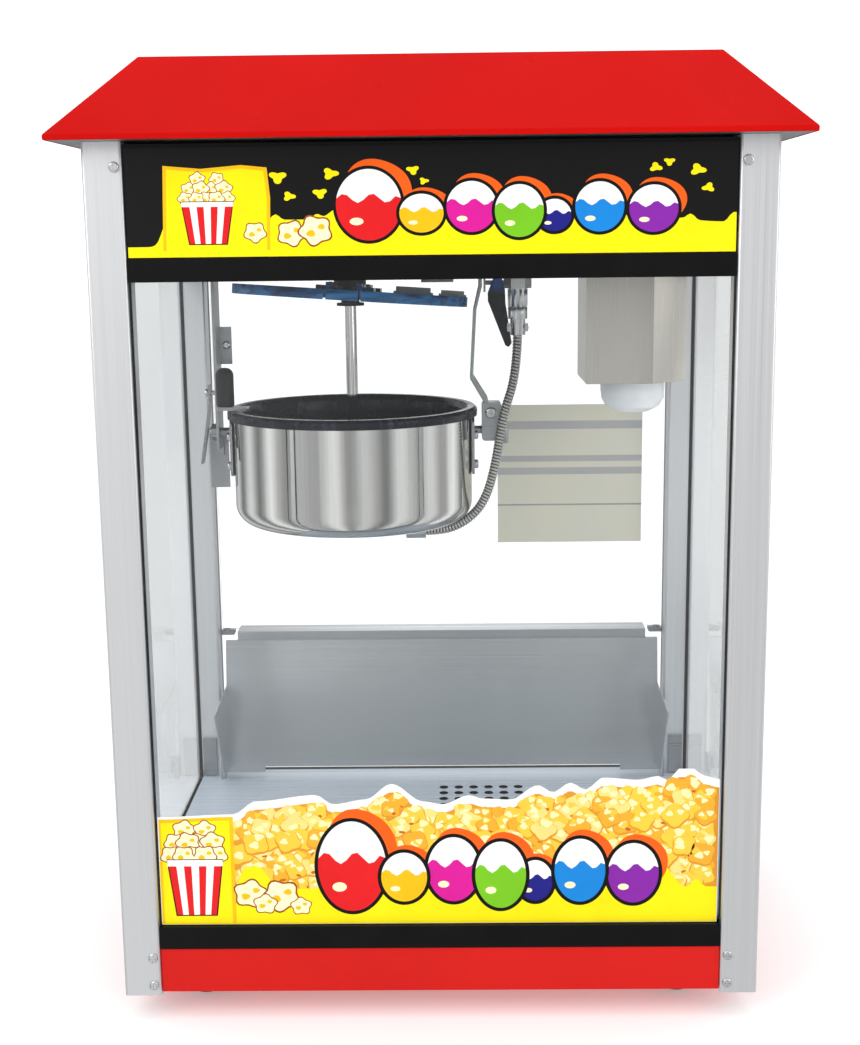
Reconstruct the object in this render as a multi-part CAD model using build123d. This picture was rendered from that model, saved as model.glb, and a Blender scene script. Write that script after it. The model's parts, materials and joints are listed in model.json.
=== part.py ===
from build123d import *
import math
import os

# Counter-top popcorn machine. Millimetres, +Z up, front towards -Y.
# Origin: centre of the footprint, on the surface that the feet stand on.

# Overall
FOOT_H = 22.0
ROOF_W = 560.0
ROOF_D = 421.0
ROOF_TOP_W = 440.0
ROOF_TOP_D = 301.0
EAVE_Z = 702.0
EAVE_LIP = 4.0
ROOF_TOP_Z = 766.0

# Frame of four corner posts
HALF_W = 257.75
HALF_D = 188.7
POST = 30.0
IN_X = HALF_W - POST
IN_Y = HALF_D - POST
GLASS_T = 4.0
FRONT_GLASS_Y = -181.0
SIDE_GLASS_X = 252.0
GROOVE_W = 7.0
GROOVE_D = 7.2

# Levels
BASE_TOP = 61.6
SILL_TOP = 81.0
FLOOR_TOP = 83.0
HEADER_Z = 599.0
STRIP_TOP = 616.5
HEADER_TOP = 700.0
CEILING_Z = 632.0

# Kettle, stirrer and lid
KX = -74.0
TILT_Z = 462.0
RIM_Z = 484.0
RIM_R = 110.0
SHELL_R = 105.0
KETTLE_BOTTOM = 383.0
SHAFT_R = 5.0
FIT = 0.06
LID_Z = 581.0
LID_R = 102.3
LID_DEPTH = 8.4
LID_LEAN = 4.0
LID_TIP = -2.2
HINGE_X = 12.5
HINGE_Z = 588.5

# Cable between the ceiling socket and the kettle
CABLE_R = 4.2
PLUG_X = 71.3
PLUG_Y = -14.0
GLAND = (-18.0, -8.0, 372.8)
CABLE_ROUTE = [
    (PLUG_X, PLUG_Y, 549.0),
    (70.4, -14.8, 512.0),
    (58.0, -16.4, 476.0),
    (52.0, -16.6, 434.0),
    (42.6, -14.4, 400.3),
    (26.0, -11.4, 381.6),
    (3.9, -9.0, 372.2),
    (GLAND[0], GLAND[1], GLAND[2]),
]

# Lumps along the top of the print on the front glass, across and up
PRINT_TOP = [
    (-226, 174), (-165, 176), (-146, 187), (-98, 192), (-84, 184), (-58, 188), (-37, 201), (-12, 186),
    (4, 183.5), (25, 191), (36, 188), (58, 187), (80, 199), (92, 193), (106, 201), (118, 195),
    (132, 205), (160, 203), (176, 206), (184, 202), (192, 212), (204, 212), (212, 206), (225, 203),
]

# Lamp housing
LAMP_X = 178.0
LAMP_Y = 45.0
LAMP_BOTTOM = 501.0

# Serving flap, doors, drawer and switches
FLAP_Y = 154.0
FLAP_Z = 96.0
FLAP_HALF = 222.0
DOOR_Y = 186.0
DOOR_HINGE_X = 222.0
DOOR_BOTTOM = 233.0
DOOR_TOP = 595.5
DRAWER_X0 = -20.0
DRAWER_X1 = 100.0
SWITCH_Z = 652.0
SWITCH_Y = 182.0
SWITCH_XS = (-45.0, 0.0, 45.0)


def block(x0, x1, y0, y1, z0, z1):
    """Box between two opposite corners."""
    centre = Pos((x0 + x1) / 2, (y0 + y1) / 2, (z0 + z1) / 2)
    return centre * Box(abs(x1 - x0), abs(y1 - y0), abs(z1 - z0))


def rod_x(x0, x1, y, z, r):
    return Pos((x0 + x1) / 2, y, z) * Rot(0, 90, 0) * Cylinder(r, abs(x1 - x0))


def rod_y(x, y0, y1, z, r):
    return Pos(x, (y0 + y1) / 2, z) * Rot(90, 0, 0) * Cylinder(r, abs(y1 - y0))


def rod_z(x, y, z0, z1, r):
    return Pos(x, y, (z0 + z1) / 2) * Cylinder(r, abs(z1 - z0))


def sheet_y(points, y0, y1):
    """Polygon in X-Z, extruded along Y."""
    face = make_face(Polyline(*[(x, y0, z) for x, z in points], close=True))
    return extrude(face, amount=y1 - y0, dir=(0, 1, 0))


def sheet_x(points, x0, x1):
    """Polygon in Y-Z, extruded along X."""
    face = make_face(Polyline(*[(x0, y, z) for y, z in points], close=True))
    return extrude(face, amount=x1 - x0, dir=(1, 0, 0))


def sheet_z(points, z0, z1):
    """Polygon in X-Y, extruded along Z."""
    face = make_face(Polyline(*[(x, y, z0) for x, y in points], close=True))
    return extrude(face, amount=z1 - z0, dir=(0, 0, 1))


def spun(points, x, y):
    """Profile of (radius, z) points turned about a vertical axis."""
    face = make_face(Polyline(*[(r, 0, z) for r, z in points], close=True))
    return Pos(x, y, 0) * revolve(face, Axis.Z, 360)


def join(parts):
    """All the given solids as one part; the ones that touch are fused."""
    whole = Part()
    for part in parts:
        whole = whole + part
    return whole


def both_sides(part):
    return part + mirror(part, about=Plane.YZ)


def four_corners(part):
    pair = both_sides(part)
    return pair + mirror(pair, about=Plane.XZ)


def cross_plate(wide, z0, z1):
    """Plate that fills the frame's plan without its four corners."""
    long_x, short_y, short_x, long_y = wide
    first = block(-long_x, long_x, -short_y, short_y, z0, z1)
    return first + block(-short_x, short_x, -long_y, long_y, z0, z1)


# ---------------------------------------------------------------- roof
def roof_cover():
    lip = block(-ROOF_W / 2, ROOF_W / 2, -ROOF_D / 2, ROOF_D / 2, EAVE_Z, EAVE_Z + EAVE_LIP)
    low = Pos(0, 0, EAVE_Z + EAVE_LIP) * Rectangle(ROOF_W, ROOF_D)
    high = Pos(0, 0, ROOF_TOP_Z) * Rectangle(ROOF_TOP_W, ROOF_TOP_D)
    outer = lip + loft([low, high])
    room = block(-ROOF_W / 2 + 1.5, ROOF_W / 2 - 1.5, -ROOF_D / 2 + 1.5, ROOF_D / 2 - 1.5, 690, 764.6)
    return outer - ((Pos(0, 0, -1.6) * outer) & room)


def roof_frame():
    ring = block(-278, 278, -208.5, 208.5, EAVE_Z + 0.3, EAVE_Z + 1.8)
    return ring - block(-215, 215, -145, 145, 700, 706)


# ---------------------------------------------------------------- frame
def corner_posts():
    post = block(-HALF_W, -IN_X, -HALF_D, -IN_Y, FOOT_H, EAVE_Z)
    post = fillet(post.edges().filter_by(Axis.Z), 2.0)
    gy = FRONT_GLASS_Y
    post -= block(-IN_X - GROOVE_D, -IN_X + 1, gy - GROOVE_W / 2, gy + GROOVE_W / 2, 0, 710)
    gx = -SIDE_GLASS_X
    post -= block(gx - GROOVE_W / 2, gx + GROOVE_W / 2, -IN_Y - GROOVE_D, -IN_Y + 1, 0, 710)
    post -= block(-246.5, -231, -175, -161.5, 0, 710)
    return four_corners(post)


def post_screws():
    heads = []
    for z in (31.0, 55.0, 683.5):
        head = rod_y(-233.6, -191.0, -HALF_D, z, 4.0)
        head = fillet(head.edges().group_by(Axis.Y)[0], 1.4)
        head -= block(-236.4, -230.8, -192, -190.1, z - 0.5, z + 0.5)
        head -= block(-234.1, -233.1, -192, -190.1, z - 2.8, z + 2.8)
        heads.append(head)
    return four_corners(join(heads))


def rubber_feet():
    foot = rod_z(-200, -128, 0, 24, 16)
    return four_corners(chamfer(foot.edges().group_by(Axis.Z)[0], 1.5))


def base_panels():
    front = block(-IN_X + 0.25, IN_X - 0.25, -186.5, -184.5, 24, BASE_TOP)
    side = block(-255.2, -253.2, -IN_Y + 0.25, IN_Y - 0.25, 24, BASE_TOP)
    rear_left = block(-IN_X + 0.25, DRAWER_X0 - 3, 184.5, 186.5, 24, BASE_TOP)
    rear_right = block(DRAWER_X1 + 3, IN_X - 0.25, 184.5, 186.5, 24, BASE_TOP)
    bottom = cross_plate((252.9, IN_Y - 0.3, IN_X - 0.3, 184.2), 24, 25.2)
    return join([front, both_sides(side), rear_left, rear_right, bottom])


def glazing_rails():
    """Black rails that hold the glass, round the base and under the header."""
    span = IN_X - 0.25
    run = IN_Y - 0.25
    slot = GLASS_T / 2 + 0.5
    front_low = block(-span, span, -187.5, -175, BASE_TOP + 0.2, SILL_TOP)
    front_low -= block(-230, 230, FRONT_GLASS_Y - slot, FRONT_GLASS_Y + slot, 74, 90)
    front_top = block(-span, span, -187.5, -175, HEADER_Z, STRIP_TOP)
    front_top -= block(-230, 230, FRONT_GLASS_Y - slot, FRONT_GLASS_Y + slot, 590, 606)
    side_low = block(-255.2, -244, -run, run, BASE_TOP + 0.2, SILL_TOP)
    side_low -= block(-SIDE_GLASS_X - slot, -SIDE_GLASS_X + slot, -160, 160, 74, 90)
    side_top = block(-255.2, -244, -run, run, HEADER_Z, STRIP_TOP)
    side_top -= block(-SIDE_GLASS_X - slot, -SIDE_GLASS_X + slot, -160, 160, 590, 606)
    rear_low = block(-span, span, 176, 187.5, BASE_TOP + 0.2, SILL_TOP)
    return join([front_low, front_top, both_sides(side_low), both_sides(side_top), rear_low])


def header_panels():
    span = IN_X - 0.25
    run = IN_Y - 0.25
    front = block(-span, span, -186.5, -185, STRIP_TOP + 0.2, HEADER_TOP)
    side = block(-255.2, -253.7, -run, run, STRIP_TOP + 0.2, HEADER_TOP)
    rear = block(-span, span, 185, 186.5, HEADER_Z, HEADER_TOP)
    rear -= block(-70, 70, 180, 190, SWITCH_Z - 15.5, SWITCH_Z + 15.5)
    return join([front, both_sides(side), rear])


def header_graphic():
    return block(-226.5, 226.5, -187.0, -186.5, STRIP_TOP + 0.5, 697)


def ceiling_plate():
    plate = cross_plate((253.4, IN_Y - 0.3, IN_X - 0.3, 184.7), CEILING_Z, CEILING_Z + 1.5)
    return plate - rod_z(KX, 0, 620, 640, 12.0)


def front_glass():
    y = FRONT_GLASS_Y
    return block(-233.8, 233.8, y - GLASS_T / 2, y + GLASS_T / 2, 75, 605)


def side_glasses():
    x = SIDE_GLASS_X
    return both_sides(block(-x - GLASS_T / 2, -x + GLASS_T / 2, -164.7, 164.7, 75, 605))


def gaskets():
    """Black rubber channel between each glass edge and its post groove."""
    room = GLASS_T / 2 + 0.05
    y = FRONT_GLASS_Y
    front = block(-234.8, -IN_X + 0.8, y - 3.4, y + 3.4, SILL_TOP + 0.3, HEADER_Z - 0.3)
    front -= block(-233.9, 0, y - room, y + room, 0, 700)
    x = -SIDE_GLASS_X
    side = block(x - 3.4, x + 3.4, -165.7, -IN_Y + 0.8, SILL_TOP + 0.3, HEADER_Z - 0.3)
    side -= block(x - room, x + room, -164.8, 0, 0, 700)
    return join([both_sides(front), four_corners(side)])


def print_top(x):
    """Level of the printed heap's top edge, eased from one lump to the next."""
    for (x0, z0), (x1, z1) in zip(PRINT_TOP, PRINT_TOP[1:]):
        if x <= x1:
            t = (x - x0) / (x1 - x0)
            return z0 + (z1 - z0) * t * t * (3 - 2 * t)
    return PRINT_TOP[-1][1]


def glass_decal():
    """Printed film on the front glass, with a bumpy top edge."""
    left, right = PRINT_TOP[0][0], PRINT_TOP[-1][0]
    steps = 110
    across = [right + (left - right) * i / steps for i in range(steps + 1)]
    bottom = SILL_TOP + 0.4
    y = FRONT_GLASS_Y - GLASS_T / 2
    outline = [(left, bottom), (right, bottom)] + [(x, print_top(x)) for x in across]
    return sheet_y(outline, y - 0.4, y)


def floor_plate():
    plate = cross_plate((247.5, IN_Y - 0.4, IN_X - 0.4, 174.0), FLOOR_TOP - 1.5, FLOOR_TOP)
    for column in range(6):
        for row in range(7):
            plate -= rod_z(1.8 + 15.0 * column, 119.5 - 15.7 * row, 80, 85, 4.5)
    return plate


# ---------------------------------------------------------------- drive and lamp
def stir_motor():
    gearbox = fillet(block(KX - 30, KX + 42, -34, 34, 640, 672).edges().filter_by(Axis.Z), 5)
    can = rod_z(KX + 10, 0, 672, 732, 30)
    can = fillet(can.edges().group_by(Axis.Z)[-1], 3)
    legs = [rod_z(KX + dx, dy, 633.5, 640, 4) for dx in (-24, 36) for dy in (-28, 28)]
    return join([gearbox, can] + legs) - rod_z(KX, 0, 630, 664, SHAFT_R + FIT)


def shaft_bushing():
    sleeve = rod_z(KX, 0, 620, 638, 11.9) + rod_z(KX, 0, 628.8, 631.8, 19)
    return sleeve - rod_z(KX, 0, 610, 640, SHAFT_R + FIT)


def drive_shaft():
    """Motor shaft; the flat tang at its foot turns the stirrer's fork."""
    shaft = rod_z(KX, 0, TILT_Z + 8, 660, SHAFT_R)
    return shaft + block(KX - 1.5, KX + 1.5, -4.7, 4.7, TILT_Z - 4, TILT_Z + 9)


def lamp_plan(inset):
    near, back = LAMP_Y - 45, LAMP_Y + 50
    left, right = LAMP_X - 46, LAMP_X + 45
    return [
        (left + inset, near + inset),
        (LAMP_X + 13 - 0.35 * inset, near + inset),
        (right - inset, near + 27 + 0.35 * inset),
        (right - inset, back - inset),
        (left + inset, back - inset),
    ]


def lamp_housing():
    shade = sheet_z(lamp_plan(0), LAMP_BOTTOM, 631.8)
    return shade - sheet_z(lamp_plan(1.3), LAMP_BOTTOM - 5, 630.3)


def lamp_socket():
    return rod_z(LAMP_X, LAMP_Y, 562, 630.2, 19) + rod_z(LAMP_X, LAMP_Y, 600, 606, 23)


def lamp_dome():
    profile = [(0, 471.5), (15, 472.5), (24, 477), (28, 484), (29, 492), (29, 512)]
    profile += [(25, 526), (17, 538), (14, 546), (14, 561.8), (0, 561.8)]
    return spun(profile, LAMP_X, LAMP_Y)


# ---------------------------------------------------------------- kettle hangers
def hanger_left():
    strap = block(-193.5, -191, -14, 14, 448, 631.8)
    strap += rod_x(-193.5, -191, 0, TILT_Z, 14)
    strap += block(-215, -191, -14, 14, 630.3, 631.8)
    strap += block(-192, -181, 12.5, 14, 521, 554)
    strap += block(-204, -187, 13.9, 15.4, 410, 463)
    strap += block(-193.5, -191, 10, 15, 440, 463)
    return strap - rod_x(-200, -180, 0, TILT_Z, 4.0 + FIT)


def hanger_right():
    left_edge = [(37.7, 631.8), (37.7, 588), (33, 567.5), (29.8, 508), (40.5, 489.5), (42.5, 487.2)]
    right_edge = [(46, 487.2), (45, 491), (32.6, 510.8), (35.8, 568), (40.7, 588), (40.7, 631.8)]
    return sheet_y(left_edge + right_edge, -13, 13)


def pivot_block():
    body = block(40, 57, -9, 9, 453, 487)
    body = fillet(body.edges().filter_by(Axis.Y), 3)
    return body - rod_x(35, 60, 0, TILT_Z, 3.5 + FIT)


def hanger_bolts():
    """Bolts on the hangers: block, side tab and the side latch's pivot."""
    block_bolt = rod_y(48, -12.4, -9, 478, 5)
    block_bolt = fillet(block_bolt.edges().group_by(Axis.Y)[0], 2)
    tab_bolt = fillet(rod_y(-185.5, 9.5, 12.5, 538, 3.6).edges().group_by(Axis.Y)[0], 1.5)
    pivot = rod_x(-203, -193.5, 0, 497, 2.0) + rod_x(-203.6, -201.2, 0, 497, 3.6)
    return join([block_bolt, tab_bolt, pivot])


def side_latch():
    """Thin arm beside the left hanger that keeps the kettle's pin in place."""
    arm = [(-200.8, 504), (-198.6, 504), (-198.6, 488), (-207.4, 434), (-209.6, 434), (-200.8, 488)]
    return sheet_y(arm, -5, 5) - rod_x(-210, -190, 0, 497, 2.0 + FIT)


# ---------------------------------------------------------------- kettle
def kettle_shell():
    height = 475.9 - KETTLE_BOTTOM
    outer = rod_z(KX, 0, KETTLE_BOTTOM, KETTLE_BOTTOM + height, SHELL_R)
    outer = fillet(outer.edges().group_by(Axis.Z)[0], 17)
    inner = rod_z(KX, 0, KETTLE_BOTTOM + 1.8, 500, SHELL_R - 1.8)
    inner = fillet(inner.edges().group_by(Axis.Z)[0], 15.2)
    return outer - inner


def kettle_pot():
    """Non-stick pot with a broad rim; a short pin in its floor carries the stirrer."""
    profile = [(0, 393.5), (88, 393.5), (96.5, 400), (99.5, 476), (RIM_R, 476)]
    profile += [(RIM_R, 481.5), (RIM_R - 2.5, RIM_Z), (102, RIM_Z), (97.2, 479)]
    profile += [(94, 402), (87, 396), (0, 396)]
    return spun(profile, KX, 0) + rod_z(KX, 0, 395, 404, 4)


def heating_element():
    return Pos(KX, 0, 389.3) * Torus(62, 3.2)


def kettle_ears():
    """Side plates with the trunnion pins that the kettle tips on."""
    right = block(31.2, 33.4, -17, 17, 424, 474)
    right = fillet(right.edges().filter_by(Axis.X), 5)
    right += rod_x(33, 61, 0, TILT_Z, 3.5)
    right += rod_z(60.5, 0, 450, TILT_Z, 3.0)
    left = block(-181.4, -179.2, -17, 17, 424, 474)
    left = fillet(left.edges().filter_by(Axis.X), 5)
    left += rod_x(-201, -181, 0, TILT_Z, 4.0)
    nut = extrude(RegularPolygon(7.5, 6), amount=4.6)
    left += Pos(-199.2, 0, TILT_Z) * Rot(0, 90, 0) * nut
    return join([right, left])


def ear_bolts():
    heads = []
    for z in (433.0, 459.0):
        right = rod_x(33.4, 36.8, -11, z, 4)
        heads.append(fillet(right.edges().group_by(Axis.X)[-1], 1.8))
        left = rod_x(-184.8, -181.4, -11, z, 4)
        heads.append(fillet(left.edges().group_by(Axis.X)[0], 1.8))
    return join(heads)


def handle_arm():
    bar = block(-190.5, -161, -31, -21, 484.2, 487.2)
    return fillet(bar.edges().filter_by(Axis.Z), 3)


def handle_grip():
    grip = rod_z(-182.5, -26, 487.4, 521, 7.8)
    grip = fillet(grip.edges().group_by(Axis.Z)[-1], 6.5)
    return fillet(grip.edges().group_by(Axis.Z)[0], 2)


def cable_gland():
    x, y, z = GLAND
    body = rod_x(x - 10, x + 7.5, y, z, 6.6) + block(x - 9, x + 2, y - 6, y + 6, z, 382.9)
    return body - rod_x(x - 2, x + 10, y, z, CABLE_R + 0.4)


def stirrer():
    """Lower half of the stirring shaft: fork, shaft, hub and two sweeping arms."""
    shaft = rod_z(KX, 0, 408, 450, SHAFT_R)
    hub = rod_z(KX, 0, 397.2, 412, 9) - rod_z(KX, 0, 390, 405, 4 + FIT)
    fork = rod_z(KX, 0, 446, 454, 8)
    prongs = block(KX + 1.7, KX + 6.5, -4.6, 4.6, 453, 466)
    prongs += block(KX - 6.5, KX - 1.7, -4.6, 4.6, 453, 466)
    long_arm = block(KX - 82, KX + 82, -2.5, 2.5, 398, 403)
    long_arm += block(KX - 82, KX - 60, -2.5, 14, 398, 401)
    long_arm += block(KX + 60, KX + 82, -14, 2.5, 398, 401)
    cross_arm = block(KX - 2.5, KX + 2.5, -58, 58, 398, 403)
    whole = join([shaft, fork, prongs, long_arm, cross_arm])
    whole -= rod_z(KX, 0, 390, 405, 4 + FIT)
    return whole + hub


# ---------------------------------------------------------------- lid
def leaned(part):
    """The lid's parts lean together, down to the right and a little to the back."""
    lean = Rot(LID_TIP, 0, 0) * Rot(0, LID_LEAN, 0)
    return Pos(KX, 0, LID_Z) * lean * Pos(-KX, 0, -LID_Z) * part


def lid_disc():
    top = LID_Z + LID_DEPTH / 2
    disc = rod_z(KX, 0, top - LID_DEPTH, top, LID_R)
    return disc - rod_z(KX, 0, top - LID_DEPTH - 1, top - 1.5, LID_R - 1.5)


def lid_clip():
    """Collar that grips the shaft and carries the raised lid."""
    collar = rod_z(KX, 0, 572, 600, 8)
    collar += fillet(rod_z(KX, 0, 590, 600, 14).edges().group_by(Axis.Z)[-1], 2)
    collar += rod_z(KX, 0, 572, 574.5, 12)
    return collar - rod_z(KX, 0, 560, 610, SHAFT_R + FIT)


def lid_bridge():
    top = LID_Z + LID_DEPTH / 2
    strip = lid_disc() & block(KX - 13, KX + 13, -110, 110, 570, 590)
    strip -= rod_z(KX, 0, 570, 590, 9.2)
    parts = [strip]
    for side in (-1, 1):
        x = KX + side * HINGE_X
        for end in (-1, 1):
            for y in (33, 78):
                parts.append(block(x - 2.5, x + 2.5, end * y - 3, end * y + 3, top - 0.2, HINGE_Z + 2.6))
            parts.append(rod_y(x, end * 25, end * 82, HINGE_Z, 1.5))
    return leaned(join(parts))


def lid_flap(side):
    top = LID_Z + LID_DEPTH / 2
    near, far = KX + side * 15.2, KX + side * 110
    half = lid_disc() & block(min(near, far), max(near, far), -110, 110, 570, 590)
    x = KX + side * HINGE_X
    reach = KX + side * 24
    parts = [half]
    for end in (-1, 1):
        y0, y1 = sorted((end * 40, end * 71))
        parts.append(block(min(x, reach), max(x, reach), y0, y1, top + 0.35, HINGE_Z))
        parts.append(block(min(near, reach), max(near, reach), y0, y1, top - 0.2, top + 1))
        parts.append(rod_y(x, y0, y1, HINGE_Z, 3.0))
    whole = join(parts) - rod_y(x, -85, 85, HINGE_Z, 1.5 + FIT)
    return leaned(whole)


def lid_straps():
    """Stiffening straps bolted on the right half of the lid."""
    top = LID_Z + LID_DEPTH / 2
    inner = block(KX + 38, KX + 72, -13, 13, top, top + 2)
    inner += block(KX + 40, KX + 70, -13, -11, top, top + 6)
    outer = block(KX + 77, KX + 101, -13, 13, top, top + 2)
    outer += block(KX + 79, KX + 99, -13, -11, top, top + 5)
    heads = [rod_z(KX + dx, 0, top + 2, top + 4.4, 3.5) for dx in (48, 63, 90)]
    return leaned(join([inner, outer] + heads))


# ---------------------------------------------------------------- lever, socket, plug, cable
def lever_bracket():
    plate = block(42.6, 44.2, 9, 27, 582, 631.8)
    plate += block(42.6, 60, 9, 27, 630.3, 631.8)
    return plate + rod_x(44, 62.2, 18, 590, 2.0) + rod_x(62, 63.8, 18, 590, 3.8)


def latch_lever():
    """Wedge-shaped grip, broad near its pivot and narrow at its foot."""
    outline = [(52, 596), (58, 596), (61.4, 584), (61.8, 572), (67.2, 537), (64.5, 533.5)]
    outline += [(61.5, 535), (46.3, 574), (46.3, 581)]
    grip = sheet_y(outline, 11.5, 24.5)
    grip = fillet(grip.edges().group_by(Axis.Y)[0] + grip.edges().group_by(Axis.Y)[-1], 1.5)
    return grip - rod_x(40, 70, 18, 590, 2.0 + FIT)


def cable_socket():
    return rod_z(PLUG_X, PLUG_Y, 600.4, 631.8, 13)


def cable_plug():
    """Threaded chrome connector: nut, ribbed barrel, collar and cable clamp."""
    nut = Pos(PLUG_X, PLUG_Y, 586) * extrude(RegularPolygon(12.0, 6), amount=14)
    barrel = rod_z(PLUG_X, PLUG_Y, 569, 587, 7.6)
    ribs = []
    for i in range(10):
        a = math.radians(36 * i)
        ribs.append(rod_z(PLUG_X + 7.4 * math.cos(a), PLUG_Y + 7.4 * math.sin(a), 570.5, 585.5, 1.2))
    collar = rod_z(PLUG_X, PLUG_Y, 560, 570, 8.4)
    clamp = rod_z(PLUG_X, PLUG_Y, 546, 561, 6.6)
    clamp += block(PLUG_X - 9, PLUG_X + 9, PLUG_Y - 3, PLUG_Y + 3, 549, 556)
    screws = [rod_y(PLUG_X + dx, PLUG_Y - 5, PLUG_Y + 4, 552.5, 1.8) for dx in (-7.6, 7.6)]
    whole = join([nut, barrel, collar, clamp] + ribs + screws)
    return whole - rod_z(PLUG_X, PLUG_Y, 540, 550.5, CABLE_R + 0.1)


def turn_angle(a, b, c):
    first = (Vector(*b) - Vector(*a)).normalized()
    second = (Vector(*c) - Vector(*b)).normalized()
    return math.acos(max(-1.0, min(1.0, first.dot(second))))


def kettle_cable():
    """Armoured cable: straight runs joined by tangent arcs."""
    radii = []
    for a, b, c in zip(CABLE_ROUTE, CABLE_ROUTE[1:], CABLE_ROUTE[2:]):
        shorter = min(math.dist(a, b), math.dist(b, c))
        radii.append(0.45 * shorter / math.tan(turn_angle(a, b, c) / 2))
    print("cable bend radii", [round(r, 1) for r in radii])
    route = FilletPolyline(*CABLE_ROUTE, radius=radii)
    start = Plane(origin=route @ 0, z_dir=route % 0)
    tube = sweep(start * Circle(CABLE_R), path=route)
    print("cable length", round(route.length, 1))
    print("volume ratio", round(tube.volume / (math.pi * CABLE_R**2 * route.length), 4))
    return tube


# ---------------------------------------------------------------- rear doors
def door_hardware():
    """Fixed hinge plates for the two clear doors, and their magnetic catch."""
    top = block(-IN_X + 0.2, -214, 179, 193, 596.6, 598.8)
    bottom = block(-IN_X + 0.2, -214, 179, 193, 227.5, 231.5)
    top -= rod_z(-DOOR_HINGE_X, DOOR_Y, 590, 600, 3 + FIT)
    bottom -= rod_z(-DOOR_HINGE_X, DOOR_Y, 220, 240, 3 + FIT)
    catch = block(-16, 16, 174, 183.2, 586, 598.8)
    return join([both_sides(top), both_sides(bottom), catch])


def door_left():
    return block(-226.4, -1, DOOR_Y - 2, DOOR_Y + 2, DOOR_BOTTOM, DOOR_TOP)


def door_left_fittings():
    pins = rod_z(-DOOR_HINGE_X, DOOR_Y, 228.2, DOOR_BOTTOM, 3)
    pins += rod_z(-DOOR_HINGE_X, DOOR_Y, DOOR_TOP, 598.4, 3)
    knob = rod_y(-17, DOOR_Y + 2, DOOR_Y + 18, 410, 9)
    knob = fillet(knob.edges().group_by(Axis.Y)[-1], 3)
    nut = rod_y(-17, DOOR_Y - 5, DOOR_Y - 2, 410, 6)
    return join([pins, knob, nut])


def door_label():
    return block(59, 205, DOOR_Y - 2.5, DOOR_Y - 2, 322, 463)


# ---------------------------------------------------------------- serving flap and drawer
def serving_flap():
    panel = [(160, 85.5), (180, 221), (184.1, 221), (184.1, 219.5), (181.3, 219.5), (161.5, 85.5)]
    sheet = sheet_x(panel, -FLAP_HALF - 1.2, FLAP_HALF + 1.2)
    sheet -= block(-184, 184, 150, 190, 80, 91)
    lip = [(182.6, 219.5), (182.6, 230), (209.5, 230), (209.5, 222), (208, 222), (208, 228.5)]
    lip += [(184.1, 228.5), (184.1, 219.5)]
    sheet += sheet_x(lip, -211, 211)
    x = -FLAP_HALF - 1.2
    edge = [Line((x, 161, 90), (x, 173.6, 175.4)), Line((x, 173.6, 175.4), (x, 87, 170))]
    edge += [ThreePointArc((x, 87, 170), (x, 106, 139), (x, 131, 90)), Line((x, 131, 90), (x, 161, 90))]
    cheek = extrude(make_face(edge), amount=1.2, dir=(1, 0, 0))
    cheek += rod_x(x - 3.6, x + 0.2, FLAP_Y, FLAP_Z, 3)
    return sheet + both_sides(cheek)


def flap_pivots():
    """Pivot plates and stop tabs on the rear posts."""
    plate = block(-IN_X + 0.1, -224.4, 146, 162, 83.3, 104)
    plate -= rod_x(-230, -220, FLAP_Y, FLAP_Z, 3 + FIT)
    stop = block(-247, -233, 155.4, IN_Y, 84, 124)
    return both_sides(join([plate, stop]))


def kernel_drawer():
    tray = block(DRAWER_X0, DRAWER_X1, 20, 184.6, 27, 56)
    tray -= block(DRAWER_X0 + 1.5, DRAWER_X1 - 1.5, 21.5, 183.1, 28.5, 70)
    front = block(DRAWER_X0 - 2.6, DRAWER_X1 + 2.6, 184.5, 186.5, 26.6, 61.2)
    pull = [(186.4, 57), (200, 57), (200, 50), (198.5, 50), (198.5, 55.5), (186.4, 55.5)]
    return join([tray, front, sheet_x(pull, 15, 65)])


# ---------------------------------------------------------------- switches and inlet
def switch_panel():
    panel = block(-78, 78, 186.7, 188.3, SWITCH_Z - 21, SWITCH_Z + 21)
    panel += block(-68, 68, 171.5, 187, SWITCH_Z - 15, SWITCH_Z + 15)
    for x in SWITCH_XS:
        panel -= block(x - 11.2, x + 11.2, 173.4, 190, SWITCH_Z - 13.5, SWITCH_Z + 13.5)
        panel -= rod_x(x - 13, x + 13, SWITCH_Y, SWITCH_Z, 1.5 + FIT)
    return panel


def rocker(x):
    body = fillet(Box(21.6, 15, 22).edges().filter_by(Axis.X), 1.5)
    body = Pos(0, 1.5, 0) * body + rod_x(-12.6, 12.6, 0, 0, 1.5)
    return Pos(x, SWITCH_Y, SWITCH_Z) * Rot(8, 0, 0) * body


def cord_gland():
    nut = Pos(-180, 186.6, 655) * Rot(-90, 0, 0) * extrude(RegularPolygon(11, 6), amount=6)
    return nut + fillet(rod_y(-180, 190, 203, 655, 8).edges().group_by(Axis.Y)[-1], 3)


def save(part, name):
    export_step(part, f"parts/{name}.step")


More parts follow.
